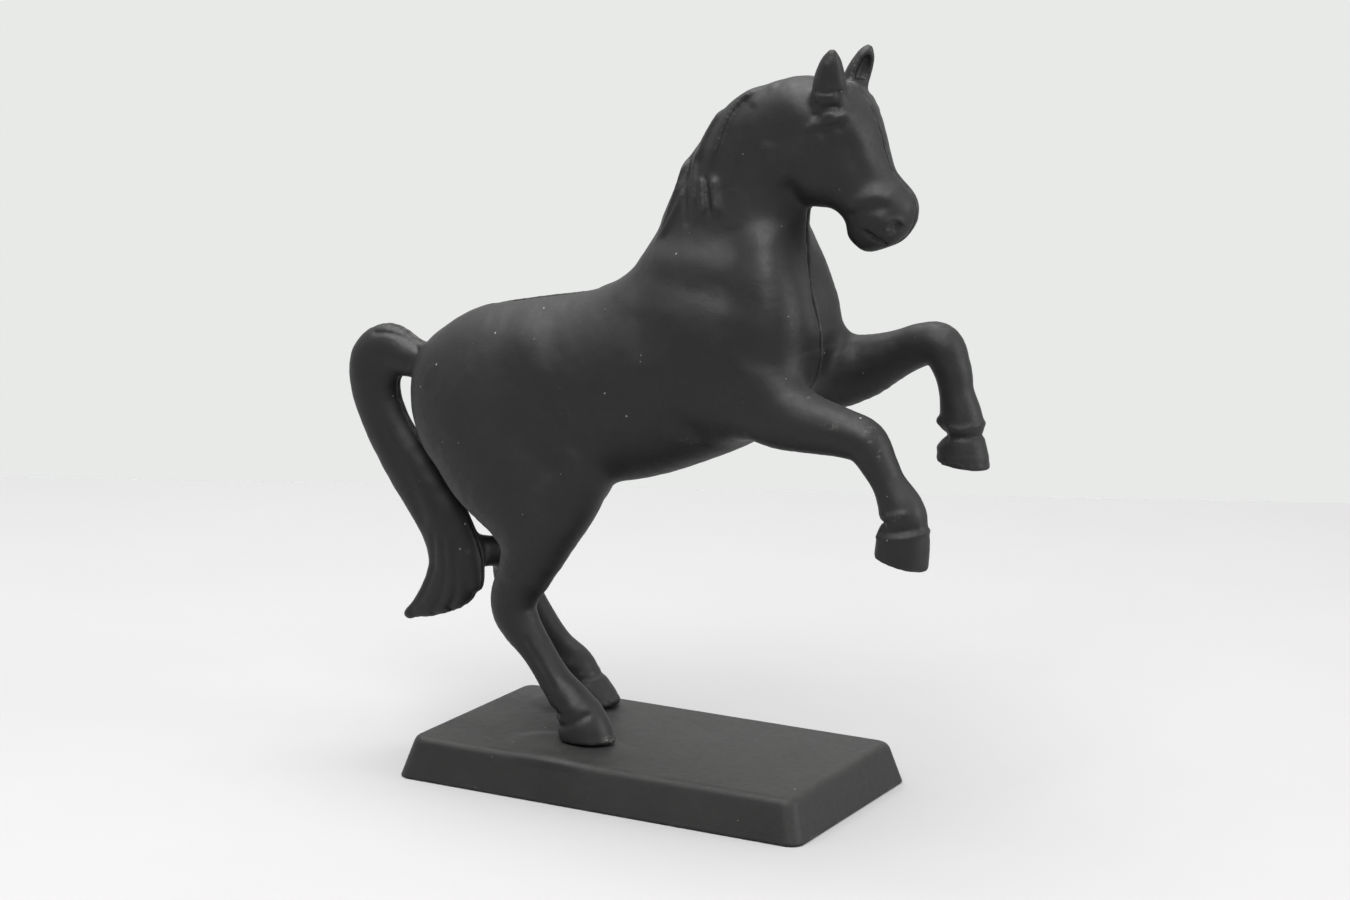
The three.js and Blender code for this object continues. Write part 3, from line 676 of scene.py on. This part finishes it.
def right_half(horse):
    """The near half: nut slot, blind screw bore, stud hole and locating lugs."""
    half = horse.box(HORSE_BOX[0], (HORSE_BOX[1][0], 4.5, HORSE_BOX[1][2])).copy()
    half.values = keep(half.values, half.axis(1) + SEAM, seam_edge(half))
    nut = half.box((-9, -9, 92), (4, 1, 109))
    wide, deep = NUT_SIDE / 2 + CLEARANCE, NUT_THICKNESS / 2 + CLEARANCE
    room = block(nut, (SCREW_X - wide, NUT_Y - deep, SCREW_Z - wide),
                 (SCREW_X + wide, NUT_Y + deep, SCREW_Z + BOSS_RADIUS + 1.5))
    nut.values[:] = cut(nut.values, room, 0.2)
    nut.values[:] = cut(nut.values, bar_y(nut, SCREW_X, SCREW_Z, BORE, -8.6, 1), 0.2)
    hoof = half.box((-16, -17, 8), (-7, -9, 21))
    hole = bar_z(hoof, STUD_X, STUD_Y, STUD_RADIUS + CLEARANCE, 5, STUD_TOP + CLEARANCE)
    hoof.values[:] = cut(hoof.values, hole, 0.2)
    for x, z in LUG_PLACES:
        spot = half.box((x - 5, -5, z - 5), (x + 5, 4.5, z + 5))
        spot.values[:] = join(spot.values, bar_y(spot, x, z, LUG_RADIUS, -3, LUG_LENGTH), 0.3)
    return mesh_object("right_half_cast", half)


def left_half(horse):
    """The far half: through bore, sunk seat for the screw's head and holes for the lugs."""
    half = horse.box((HORSE_BOX[0][0], -1.5, HORSE_BOX[0][2]), HORSE_BOX[1]).copy()
    half.values = keep(half.values, SEAM - half.axis(1), seam_edge(half))
    spot = half.box((SCREW_X - 8, -1, SCREW_Z - 8), (SCREW_X + 8, 28, SCREW_Z + 8))
    spot.values[:] = cut(spot.values, bar_y(spot, SCREW_X, SCREW_Z, BORE, -1, 30), 0.2)
    spot.values[:] = cut(spot.values, bar_y(spot, SCREW_X, SCREW_Z, RECESS_RADIUS, RECESS_FLOOR, 30), 0.5)
    for x, z in LUG_PLACES:
        spot = half.box((x - 5, -1, z - 5), (x + 5, 6, z + 5))
        hole = bar_y(spot, x, z, LUG_RADIUS + CLEARANCE, -1, LUG_LENGTH + CLEARANCE)
        spot.values[:] = cut(spot.values, hole, 0.3)
    return mesh_object("left_half_cast", half)


# ---------------------------------------------------------------- the base plate

def tapered_outline(grid, length, width, corner):
    """Distance from a rounded rectangle that shrinks towards its top as the base does."""
    lean = BASE_INSET / BASE_HEIGHT * grid.axis(2)
    qx = np.abs(grid.axis(0)) - (length / 2 - lean - corner)
    qy = np.abs(grid.axis(1)) - (width / 2 - lean - corner)
    outside = np.hypot(np.maximum(qx, 0), np.maximum(qy, 0))
    return outside + np.minimum(np.maximum(qx, qy), 0) - corner


def mound(grid, x, y, rx, ry, rz):
    """A low dome on the base's top, its middle 1 mm below it."""
    size = np.sqrt(((grid.axis(0) - x) / rx) ** 2 + ((grid.axis(1) - y) / ry) ** 2
                   + ((grid.axis(2) - BASE_HEIGHT + 1) / rz) ** 2)
    return (size - 1) * rz


def base_plate():
    """The hollow base plate with a mound under each hind hoof."""
    grid = empty(*BASE_BOX, FINE * 0.9)
    extra = 0.28  # makes up for what the foot's round edge takes away
    outline = tapered_outline(grid, BASE_LENGTH + extra, BASE_WIDTH + extra, BASE_CORNER)
    slab = keep(outline, grid.axis(2) - BASE_HEIGHT, BASE_EDGE)
    mounds = np.minimum(*(mound(grid, *dome) for dome in MOUNDS))
    plate = join(slab, keep(mounds, grid.axis(2) - PAD_TOP, 0.6), 0.6)
    plate = keep(plate, 0.06 - grid.axis(2), 0.12)
    recess = tapered_outline(grid, BASE_LENGTH - 2 * BASE_WALL, BASE_WIDTH - 2 * BASE_WALL, BASE_CORNER)
    plate = cut(plate, keep(recess, grid.axis(2) - (BASE_HEIGHT - BASE_WALL), 1.5), 0.8)
    grid.values = cut(plate, bar_z(grid, STUD_X, STUD_Y, STUD_RADIUS + CLEARANCE, -1, 20), 0.3)
    return mesh_object("base_plate_cast", grid)


# ---------------------------------------------------------------- small steel parts

def corners(box):
    """A box of the frame, in this script's millimetres."""
    return (np.array(corner) / MM - (SHIFT, 0, 0) for corner in box)


def thread_groove(x, y, z):
    """1 at the bottom of the thread's groove and 0 on its crest, round a line along Y."""
    turns = y / SCREW_PITCH - np.arctan2(z, x) / (2 * np.pi)
    return np.abs(2 * (turns - np.floor(turns)) - 1)


def body_screw():
    """The long screw: slotted pan head and a rolled thread along its shank."""
    low, high = corners(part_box("body_screw"))
    head_radius = (high[0] - low[0]) / 2
    under = high[1] - SCREW_HEAD_HEIGHT
    grid = empty(low - 0.8, high + 0.8, 0.16)
    x, y, z = grid.axis(0) - SCREW_X, grid.axis(1), grid.axis(2) - SCREW_Z
    r = np.hypot(x, z)
    depth = 0.45 * np.clip((under - 5 - y) / 1.5, 0, 1)  # no thread for 5 mm under the head
    tip = np.maximum(y - under, r + (low[1] - y) * 0.9 - SCREW_RADIUS * 0.55)
    shank = np.maximum(r - SCREW_RADIUS + depth * thread_groove(x, y, z), np.maximum(low[1] - y, tip))
    crown = np.sqrt(r**2 + ((y - under) * 0.7) ** 2) - head_radius
    head = keep(keep(keep(r - head_radius, under - y, EDGE), y - high[1], EDGE), crown, EDGE)
    slot = np.maximum(np.abs(z) - 0.5, high[1] - SCREW_SLOT_DEPTH - y)
    grid.values = cut(join(shank, head, 0.3), slot, 0.12).astype(np.float32)
    return mesh_object("body_screw_steel", grid, 0.5)


def washer():
    """A plain washer with its edges rounded."""
    low, high = corners(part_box("body_screw_washer"))
    grid = empty(low - 0.6, high + 0.6, 0.14)
    r = np.hypot(grid.axis(0) - SCREW_X, grid.axis(2) - SCREW_Z)
    flat = np.maximum(low[1] - grid.axis(1), grid.axis(1) - high[1])
    ring = np.maximum(r - (high[0] - low[0]) / 2, BORE - r)
    grid.values = keep(ring, flat, 0.25).astype(np.float32)
    return mesh_object("washer_steel", grid, 0.5)


def square_nut():
    """A square nut with its corners turned down on one face."""
    low, high = corners(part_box("body_screw_nut"))
    grid = empty(low - 0.6, high + 0.6, 0.16)
    x, y, z = grid.axis(0) - SCREW_X, grid.axis(1), grid.axis(2) - SCREW_Z
    r = np.hypot(x, z)
    body = block(grid, low, high, 0.25)
    cone = r * 0.5 + (y - high[1]) * 0.87 - NUT_SIDE / 2 * 0.56
    bore = r - BORE - 0.3 * thread_groove(x, y, z)
    mouth = r - BORE - 0.5 + (high[1] - y) * 1.2
    grid.values = cut(cut(keep(body, cone, 0.2), bore, 0.1), mouth, 0.1).astype(np.float32)
    return mesh_object("nut_steel", grid, 0.5)


def hoof_stud():
    """The stud through the hoof and the deck, its lower end hammered over."""
    low, high = corners(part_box("hoof_stud"))
    grid = empty(low - 0.8, high + 0.8, 0.16)
    x, y, z = grid.axis(0) - STUD_X, grid.axis(1) - STUD_Y, grid.axis(2)
    r = np.hypot(x, y)
    angle = np.arctan2(y, x)
    head_radius = (high[0] - low[0]) / 2
    under = low[2] + STUD_HEAD_HEIGHT
    shank = keep(r - STUD_RADIUS, np.maximum(low[2] - z, z - high[2]), 0.4)
    lobed = head_radius - 0.12 + 0.1 * np.cos(3 * angle + 0.6) + 0.05 * np.cos(7 * angle)
    dome = np.sqrt((r / lobed) ** 2 + ((z - under) / STUD_HEAD_HEIGHT) ** 2) - 1
    head = keep(dome * STUD_HEAD_HEIGHT, z - under, 0.15)
    grid.values = join(shank, head, 0.3).astype(np.float32)
    return mesh_object("stud_steel", grid, 0.5)


# ---------------------------------------------------------------- materials

# Colours on the black paint: worn edges, rubbed spots, painted shade in the hollows, settled dust and pale
# specks
WORN, RUBBED, PAINTED_SHADE = (0.05, 0.048, 0.045), (0.14, 0.137, 0.128), (0.005, 0.005, 0.005)
DUST, SPECK = (0.12, 0.118, 0.11), (0.3, 0.29, 0.27)


class Nodes:
    """Builds a material step by step; a step returns the output that it made."""

    def __init__(self, name, **sockets):
        self.material = bpy.data.materials.new(name)
        self.material.use_nodes = True
        self.tree = self.material.node_tree
        self.shader = self.tree.nodes["Principled BSDF"]
        for socket, value in sockets.items():
            self.shader.inputs[socket.replace("_", " ")].default_value = value
        self.place = self.add("ShaderNodeTexCoord").outputs["Object"]

    def add(self, kind, inputs=None, **settings):
        """A node, with values or links on its inputs."""
        node = self.tree.nodes.new(kind)
        for key, value in settings.items():
            setattr(node, key, value)
        for key, value in (inputs or {}).items():
            if isinstance(value, bpy.types.NodeSocket):
                self.tree.links.new(value, node.inputs[key])
            else:
                node.inputs[key].default_value = value
        return node

    def noise(self, size, detail=3.0, rough=0.55, stretch=(1, 1, 1), shift=0.0):
        """Fractal noise whose main lumps are about `size` millimetres."""
        moved = self.add("ShaderNodeMapping", {"Vector": self.place, "Scale": stretch,
                                               "Location": (shift,) * 3})
        return self.add("ShaderNodeTexNoise", {"Vector": moved.outputs[0], "Scale": 1 / (size * MM),
                                               "Detail": detail, "Roughness": rough}).outputs["Fac"]

    def specks(self, size, share, shift=0.0):
        """Round specks: 1 inside them, in a share of cells of about `size` millimetres."""
        moved = self.add("ShaderNodeMapping", {"Vector": self.place, "Location": (shift,) * 3})
        cell = self.add("ShaderNodeTexVoronoi", {"Vector": moved.outputs[0], "Scale": 1 / (size * MM)})
        chance = self.add("ShaderNodeSeparateColor", {"Color": cell.outputs["Color"]}).outputs[0]
        chosen = self.ramp(chance, 1 - share, 1 - share + 0.001)
        return self.math("MULTIPLY", chosen, self.ramp(cell.outputs["Distance"], 0.055, 0.03))

    def ramp(self, value, low, high, start=0.0, end=1.0):
        """Maps low..high to start..end, held flat outside."""
        return self.add("ShaderNodeMapRange", {"Value": value, "From Min": low, "From Max": high,
                                               "To Min": start, "To Max": end}).outputs["Result"]

    def math(self, operation, a, b):
        return self.add("ShaderNodeMath", {0: a, 1: b}, operation=operation).outputs[0]

    def mix(self, share, a, b):
        """Colour a, going over to colour b."""
        node = self.add("ShaderNodeMix", {"Factor": share}, data_type="RGBA")
        for name, colour in (("A", a), ("B", b)):
            socket = next(s for s in node.inputs if s.name == name and s.type == "RGBA")
            if isinstance(colour, bpy.types.NodeSocket):
                self.tree.links.new(colour, socket)
            else:
                socket.default_value = (*colour, 1)
        return next(s for s in node.outputs if s.type == "RGBA")

    def attribute(self, name):
        return self.add("ShaderNodeAttribute", attribute_name=name).outputs["Fac"]

    def bump(self, height, depth, below=None):
        """Tilts the surface by a height from 0 to 1 that stands for `depth` millimetres."""
        inputs = {"Height": height, "Distance": depth * MM, "Strength": 1.0}
        if below is not None:
            inputs["Normal"] = below
        return self.add("ShaderNodeBump", inputs).outputs["Normal"]

    def finish(self, **links):
        """Links the shader's sockets and hands over the material."""
        for socket, value in links.items():
            self.tree.links.new(value, self.shader.inputs[socket.replace("_", " ")])
        return self.material


def black_iron(name, dark, light, dull, dust):
    """Matte black paint over cast iron: uneven sheen, pebbled skin, rubbed edges, painted shade in the
    hollows, dust specks.
    """
    n = Nodes(name, Metallic=0.0, Specular_IOR_Level=0.4)
    patches = n.noise(24, 4, 0.6)
    colour = n.mix(n.ramp(patches, 0.35, 0.68), dark, light)
    fine = n.noise(1.6, 4, 0.65, shift=3)
    edge = n.ramp(n.attribute("bend"), 0.55, 1.5)
    # Hollows and creases, found from the bend; below, the paint is darkened there as painted shade
    hollow = n.ramp(n.attribute("bend"), -0.25, -1.3)
    worn_edge = n.math("MULTIPLY", edge, n.ramp(n.noise(4, 4, 0.7, shift=7), 0.48, 0.66))
    colour = n.mix(n.math("MULTIPLY", worn_edge, 0.45), colour, WORN)
    rubbed = n.math("MULTIPLY", n.attribute("scuff"), n.ramp(n.noise(0.8, 4, 0.7, shift=3), 0.5, 0.62))
    colour = n.mix(n.math("MULTIPLY", rubbed, 0.75), colour, RUBBED)
    # Painted shade: hollows and creases darkened towards a near-black colour
    colour = n.mix(n.math("MULTIPLY", hollow, 0.5), colour, PAINTED_SHADE)
    upward = n.add("ShaderNodeSeparateXYZ", {"Vector": n.add("ShaderNodeNewGeometry").outputs["Normal"]})
    settled = n.math("MULTIPLY", n.ramp(upward.outputs["Z"], 0.2, 0.95),
                     n.ramp(n.noise(9, 5, 0.7, shift=11), 0.4, 0.75))
    colour = n.mix(n.math("MULTIPLY", settled, dust), colour, DUST)
    pale = n.math("MAXIMUM", n.specks(5.5, 0.42), n.math("MULTIPLY", n.specks(3.1, 0.3, 0.4), 0.75))
    colour = n.mix(n.math("MULTIPLY", pale, 0.7), colour, SPECK)
    uneven = n.math("ADD", n.ramp(patches, 0.3, 0.7, -0.05, 0.06), n.ramp(fine, 0.3, 0.7, -0.05, 0.05))
    gloss = n.math("ADD", n.math("ADD", uneven, dull), n.math("MULTIPLY", settled, 0.12))
    gloss = n.math("SUBTRACT", gloss, n.math("MULTIPLY", worn_edge, 0.12))
    pebbles = n.bump(n.noise(2.2, 3, 0.6), 0.045)
    streaks = n.math("MULTIPLY", n.ramp(n.noise(17, 2, 0.5, shift=5), 0.5, 0.7),
                     n.noise(1.1, 4, 0.7, stretch=(0.35, 1, 1.2), shift=9))
    normal = n.bump(streaks, 0.07, pebbles)
    normal = n.bump(n.noise(0.5, 2, 0.5), 0.02, normal)
    pits = n.math("MAXIMUM", n.specks(7, 0.3, 1.3), n.specks(4, 0.12, 2.1))
    normal = n.bump(n.math("SUBTRACT", 1.0, pits), 0.12, normal)
    return n.finish(Base_Color=colour, Roughness=gloss, Normal=normal)


def steel(name, bright, dark, stain, brushed):
    """Plain steel with fine scratches along one direction, dull patches and a little rust."""
    n = Nodes(name, Metallic=0.92)
    patches = n.noise(2.5, 4, 0.65)
    scratches = n.noise(0.35, 3, 0.7, stretch=brushed, shift=2)
    colour = n.mix(n.ramp(patches, 0.35, 0.65), bright, dark)
    hollow = n.ramp(n.attribute("bend"), -0.1, -0.9)
    rusty = n.math("MAXIMUM", n.math("MULTIPLY", hollow, 0.7),
                   n.ramp(n.noise(1.8, 5, 0.7, shift=6), 0.62, 0.74, 0, 0.6))
    colour = n.mix(rusty, colour, stain)
    gloss = n.math("ADD", n.ramp(scratches, 0.3, 0.7, 0.3, 0.48), n.math("MULTIPLY", rusty, 0.25))
    normal = n.bump(scratches, 0.02)
    normal = n.bump(n.noise(1.1, 3, 0.6, shift=4), 0.03, normal)
    return n.finish(Base_Color=colour, Roughness=gloss, Normal=normal)


# ---------------------------------------------------------------- stage

VIEW_AZIMUTH, VIEW_DOWN, VIEW_ROLL = 28, 11.312, 0.737
VIEW_PLACE = Vector((354.6 + SHIFT, -656.7, 233.25)) * MM
VIEW_LENS, VIEW_SENSOR = 82.81, 36
TABLE_SIDE, TABLE_FRONT = 1.8, 2.2  # metres from the middle, as the main view sees them
TABLE_FAR_LEFT, TABLE_FAR_RIGHT = 0.403, 0.287
LAMPS = [  # name, then place, target and size in metres, and watts
    ("top_light", (-0.2, -0.02, 1.2), (-0.02, 0, 0.1), (1.3, 1.1), 27),
    ("key_light", (0.2, -0.75, 1), (0, 0, 0.12), (0.7, 0.5), 11),
    ("right_light", (1.25, 0.15, 0.5), (0, 0, 0.12), (0.7, 0.8), 11),
]


def add_camera():
    """The main view: from about 760 mm away, looking slightly down."""
    camera = bpy.data.objects.new("camera", bpy.data.cameras.new("camera"))
    camera.data.lens, camera.data.sensor_width = VIEW_LENS, VIEW_SENSOR
    turn = (Matrix.Rotation(math.radians(VIEW_AZIMUTH), 4, "Z")
            @ Matrix.Rotation(math.radians(90 - VIEW_DOWN), 4, "X")
            @ Matrix.Rotation(math.radians(VIEW_ROLL), 4, "Z"))
    camera.matrix_world = Matrix.Translation(VIEW_PLACE) @ turn
    bpy.context.collection.objects.link(camera)
    bpy.context.scene.camera = camera


def add_area(name, place, target, size, power):
    """A soft rectangular lamp at a place, aimed at a target."""
    lamp = bpy.data.objects.new(name, bpy.data.lights.new(name, "AREA"))
    lamp.data.shape = "RECTANGLE"
    lamp.data.size, lamp.data.size_y = size
    lamp.data.energy = power
    lamp.location = place
    lamp.rotation_mode = "QUATERNION"
    lamp.rotation_quaternion = (Vector(target) - Vector(place)).to_track_quat("-Z", "Y")
    bpy.context.collection.objects.link(lamp)


def add_stage():
    """A pale table top that ends behind the horse, a pale surround and soft light from above."""
    turn = Matrix.Rotation(math.radians(VIEW_AZIMUTH), 3, "Z")
    outline = [(-TABLE_SIDE, -TABLE_FRONT, 0), (TABLE_SIDE, -TABLE_FRONT, 0),
               (TABLE_SIDE, TABLE_FAR_RIGHT, 0), (-TABLE_SIDE, TABLE_FAR_LEFT, 0)]
    mesh = bpy.data.meshes.new("table")
    mesh.from_pydata([turn @ Vector(corner) for corner in outline], [], [(0, 1, 2, 3)])
    table = bpy.data.objects.new("table", mesh)
    bpy.context.collection.objects.link(table)
    n = Nodes("table_white", Specular_IOR_Level=0.1, Roughness=0.8)
    white = n.mix(n.noise(60), (0.34, 0.335, 0.34), (0.355, 0.35, 0.355))
    table.data.materials.append(n.finish(Base_Color=white))
    add_world()
    for lamp in LAMPS:
        add_area(*lamp)
    bpy.context.scene.view_settings.view_transform = "Standard"


def map_range(tree, value, low, high, start, end):
    """A node that maps low..high to start..end, held flat outside."""
    node = tree.nodes.new("ShaderNodeMapRange")
    tree.links.new(value, node.inputs["Value"])
    for name, number in (("From Min", low), ("From Max", high), ("To Min", start), ("To Max", end)):
        node.inputs[name].default_value = number
    return node.outputs["Result"]


def add_world():
    """A pale surround: brighter overhead, dimmer on the side that the main view is taken from."""
    world = bpy.data.worlds.new("studio")
    bpy.context.scene.world = world
    world.use_nodes = True
    tree = world.node_tree
    place = tree.nodes.new("ShaderNodeTexCoord")
    split = tree.nodes.new("ShaderNodeSeparateXYZ")
    tree.links.new(place.outputs["Generated"], split.inputs[0])
    overhead = map_range(tree, split.outputs["Z"], 0.1, 1, 0.82, 1)
    facing = tree.nodes.new("ShaderNodeVectorMath")
    facing.operation = "DOT_PRODUCT"
    facing.inputs[1].default_value = (-0.475, 0.88, 0)  # the way that the main view looks
    tree.links.new(place.outputs["Generated"], facing.inputs[0])
    away = map_range(tree, facing.outputs["Value"], -0.6, 0.75, 0.3, 1)
    strength = tree.nodes.new("ShaderNodeMath")
    strength.operation = "MULTIPLY"
    tree.links.new(overhead, strength.inputs[0])
    tree.links.new(away, strength.inputs[1])
    background = tree.nodes["Background"]
    background.inputs["Color"].default_value = (0.985, 1, 0.985, 1)
    tree.links.new(strength.outputs["Value"], background.inputs["Strength"])


# ---------------------------------------------------------------- build

def finish_piece(item, material, body, slot, *nodes):
    """Paints a piece, ties it to its CAD body and hides the nodes that it stands for."""
    item.data.materials.append(material)
    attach(item, body)
    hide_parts(*nodes)


horse_paint = black_iron("black_iron", (0.0034, 0.0037, 0.0035), (0.0064, 0.0068, 0.0064), 0.55, 0.05)
base_paint = black_iron("base_iron", (0.007, 0.0068, 0.0066), (0.011, 0.0107, 0.0104), 0.56, 0.1)
horse = horse_grid()
finish_piece(right_half(horse), horse_paint, "bank", "black_iron", "right_half")
finish_piece(left_half(horse), horse_paint, "left_half", "black_iron", "left_half")
finish_piece(base_plate(), base_paint, "bank", "base_iron", "base_plate")

# The steels: bright colour, dark colour and rust
blackened = ((0.13, 0.13, 0.13), (0.07, 0.07, 0.07), (0.12, 0.06, 0.03))
zinc = ((0.5, 0.5, 0.49), (0.36, 0.36, 0.35), (0.12, 0.06, 0.03))
oxide = ((0.16, 0.155, 0.15), (0.09, 0.085, 0.08), (0.1, 0.045, 0.02))
finish_piece(body_screw(), steel("screw_steel", *blackened, (1, 0.2, 1)),
             "body_screw", "screw_steel", "body_screw")
finish_piece(washer(), steel("washer_steel", *zinc, (1, 1, 0.4)),
             "screw_washer", "screw_steel", "body_screw_washer")
finish_piece(square_nut(), steel("nut_steel", *oxide, (1, 0.5, 1)), "bank", "nut_steel", "body_screw_nut")
finish_piece(hoof_stud(), steel("stud_steel", *oxide, (1, 1, 0.3)), "bank", "nut_steel", "hoof_stud")

add_camera()
add_stage()
